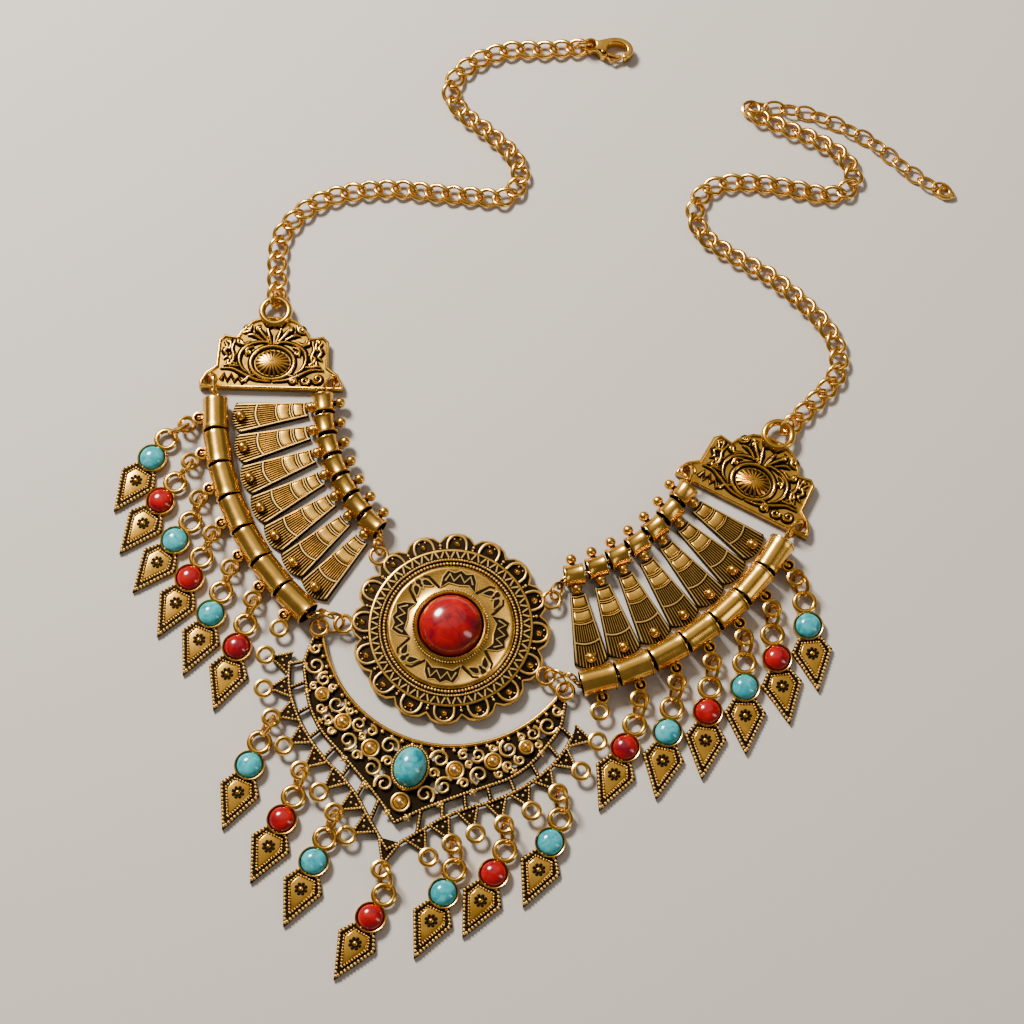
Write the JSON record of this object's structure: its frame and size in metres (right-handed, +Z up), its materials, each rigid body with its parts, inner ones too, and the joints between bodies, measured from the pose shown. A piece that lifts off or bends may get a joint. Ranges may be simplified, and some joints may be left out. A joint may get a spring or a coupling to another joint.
{
  "type": "bib necklace",
  "caption": "Bib necklace laid flat: round medallion, openwork crescent, fanned side bars, dangling stone and kite drops, end plates, curb chains, lobster clasp and extender.",
  "frame": {"origin": "middle of the medallion's flat back, on the surface the necklace lies on", "axes": "+X to the right across the bib, +Y from the crescent's point through the medallion towards the clasp, +Z up from the surface"},
  "size_m": [0.194, 0.2693, 0.0088],
  "materials": {
    "bright_gold": "polished antique gold plating",
    "antique_gold": "antique gold plating with dark recesses",
    "chain_gold": "polished copper gold plating",
    "red_stone": "glossy marbled resin"
  },
  "bodies": {
    "necklace": {"tube_left_1": "bright_gold", "tube_left_2": "bright_gold", "tube_left_3": "bright_gold", "tube_left_4": "bright_gold", "tube_left_5": "bright_gold", "tube_left_6": "bright_gold", "tube_left_7": "bright_gold", "fan_left_1": "antique_gold", "fan_left_2": "antique_gold", "fan_left_3": "antique_gold", "fan_left_4": "antique_gold", "fan_left_5": "antique_gold", "fan_left_6": "antique_gold", "fan_left_7": "antique_gold", "drop_left_1": "bright_gold", "drop_left_2": "bright_gold", "drop_left_3": "bright_gold", "drop_left_4": "bright_gold", "drop_left_5": "bright_gold", "drop_left_6": "bright_gold", "plate_left": "bright_gold", "core_outer_left": "chain_gold", "core_inner_left": "chain_gold", "chain_left": "chain_gold", "tube_right_1": "bright_gold", "tube_right_2": "bright_gold", "tube_right_3": "bright_gold", "tube_right_4": "bright_gold", "tube_right_5": "bright_gold", "tube_right_6": "bright_gold", "tube_right_7": "bright_gold", "fan_right_1": "antique_gold", "fan_right_2": "antique_gold", "fan_right_3": "antique_gold", "fan_right_4": "antique_gold", "fan_right_5": "antique_gold", "fan_right_6": "antique_gold", "fan_right_7": "antique_gold", "drop_right_1": "bright_gold", "drop_right_2": "bright_gold", "drop_right_3": "bright_gold", "drop_right_4": "bright_gold", "drop_right_5": "bright_gold", "drop_right_6": "bright_gold", "plate_right": "bright_gold", "core_outer_right": "chain_gold", "core_inner_right": "chain_gold", "chain_right": "chain_gold", "drop_middle_1": "bright_gold", "drop_middle_2": "bright_gold", "drop_middle_3": "bright_gold", "drop_middle_4": "bright_gold", "drop_middle_5": "bright_gold", "drop_middle_6": "bright_gold", "drop_middle_7": "bright_gold", "medallion": "antique_gold", "medallion_stone": "red_stone", "crescent": "antique_gold", "clasp_body": "chain_gold"},
    "lever": {"clasp_lever": "chain_gold"}
  },
  "joints": [
    {"name": "lever_hinge", "type": "hinge", "parent": "necklace", "child": "lever", "pos_m": [-0.00385, 0.17189, 0.0016], "axis": [0, 0, 1], "range_deg": [0, 20], "stiffness_Nm_per_rad": 0.0005, "springref_deg": -17.19}
  ]
}
